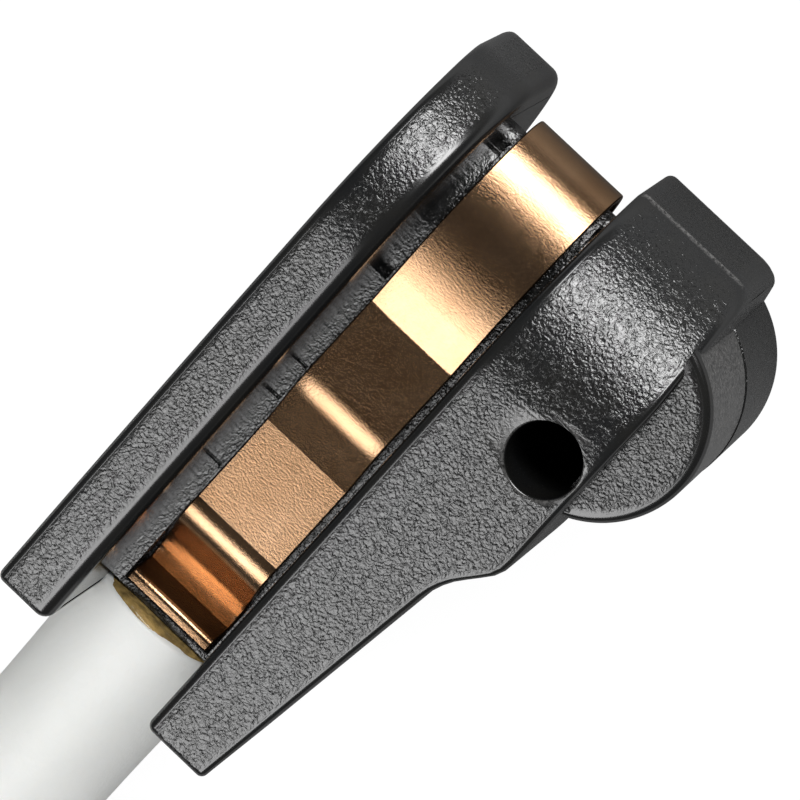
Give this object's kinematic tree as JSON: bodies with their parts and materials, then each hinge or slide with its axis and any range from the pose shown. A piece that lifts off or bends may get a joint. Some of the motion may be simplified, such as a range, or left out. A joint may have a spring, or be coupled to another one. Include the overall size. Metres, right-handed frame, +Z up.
{
  "type": "brake pad wear sensor",
  "caption": "Moulded sensor head with a slot between its wings, a bent copper spring clip round its core, a round wear tip, and a sleeved cable wound into a coil with a plug.",
  "frame": {"origin": "under the middle of the sensor head, on the surface that it lies on", "axes": "+X along the head from the cable to the nose, +Y across the slot towards the plain wing, +Z up from the surface that the wings' edges lie on"},
  "size_m": [0.1028, 0.0875, 0.0176],
  "materials": {
    "black_plastic": "fine spark-eroded grain, satin",
    "copper_alloy": "rolled spring strip, satin",
    "tinned_copper": "tinned, satin",
    "wire_insulation": "smooth",
    "white_silicone": "smooth, matte",
    "adhesive": "translucent, glossy",
    "seal_rubber": "matte"
  },
  "bodies": {
    "root": {"sensor_housing": "black_plastic", "spring_clip": "copper_alloy", "contact_loop": "tinned_copper", "crimp_sleeve_1": "tinned_copper", "crimp_sleeve_2": "tinned_copper", "lead_wire_1": "wire_insulation", "lead_wire_2": "wire_insulation", "adhesive_bead": "adhesive", "cable_lead": "white_silicone", "cable_coil": "white_silicone", "cable_tail": "white_silicone", "plug_boot": "seal_rubber", "plug_housing": "black_plastic", "plug_lock": "wire_insulation", "plug_seal": "seal_rubber", "plug_terminal_1": "tinned_copper", "plug_terminal_2": "tinned_copper", "plug_wire_1": "wire_insulation", "plug_wire_2": "wire_insulation", "plug_wire_seal_1": "seal_rubber", "plug_wire_seal_2": "seal_rubber"}
  },
  "joints": []
}
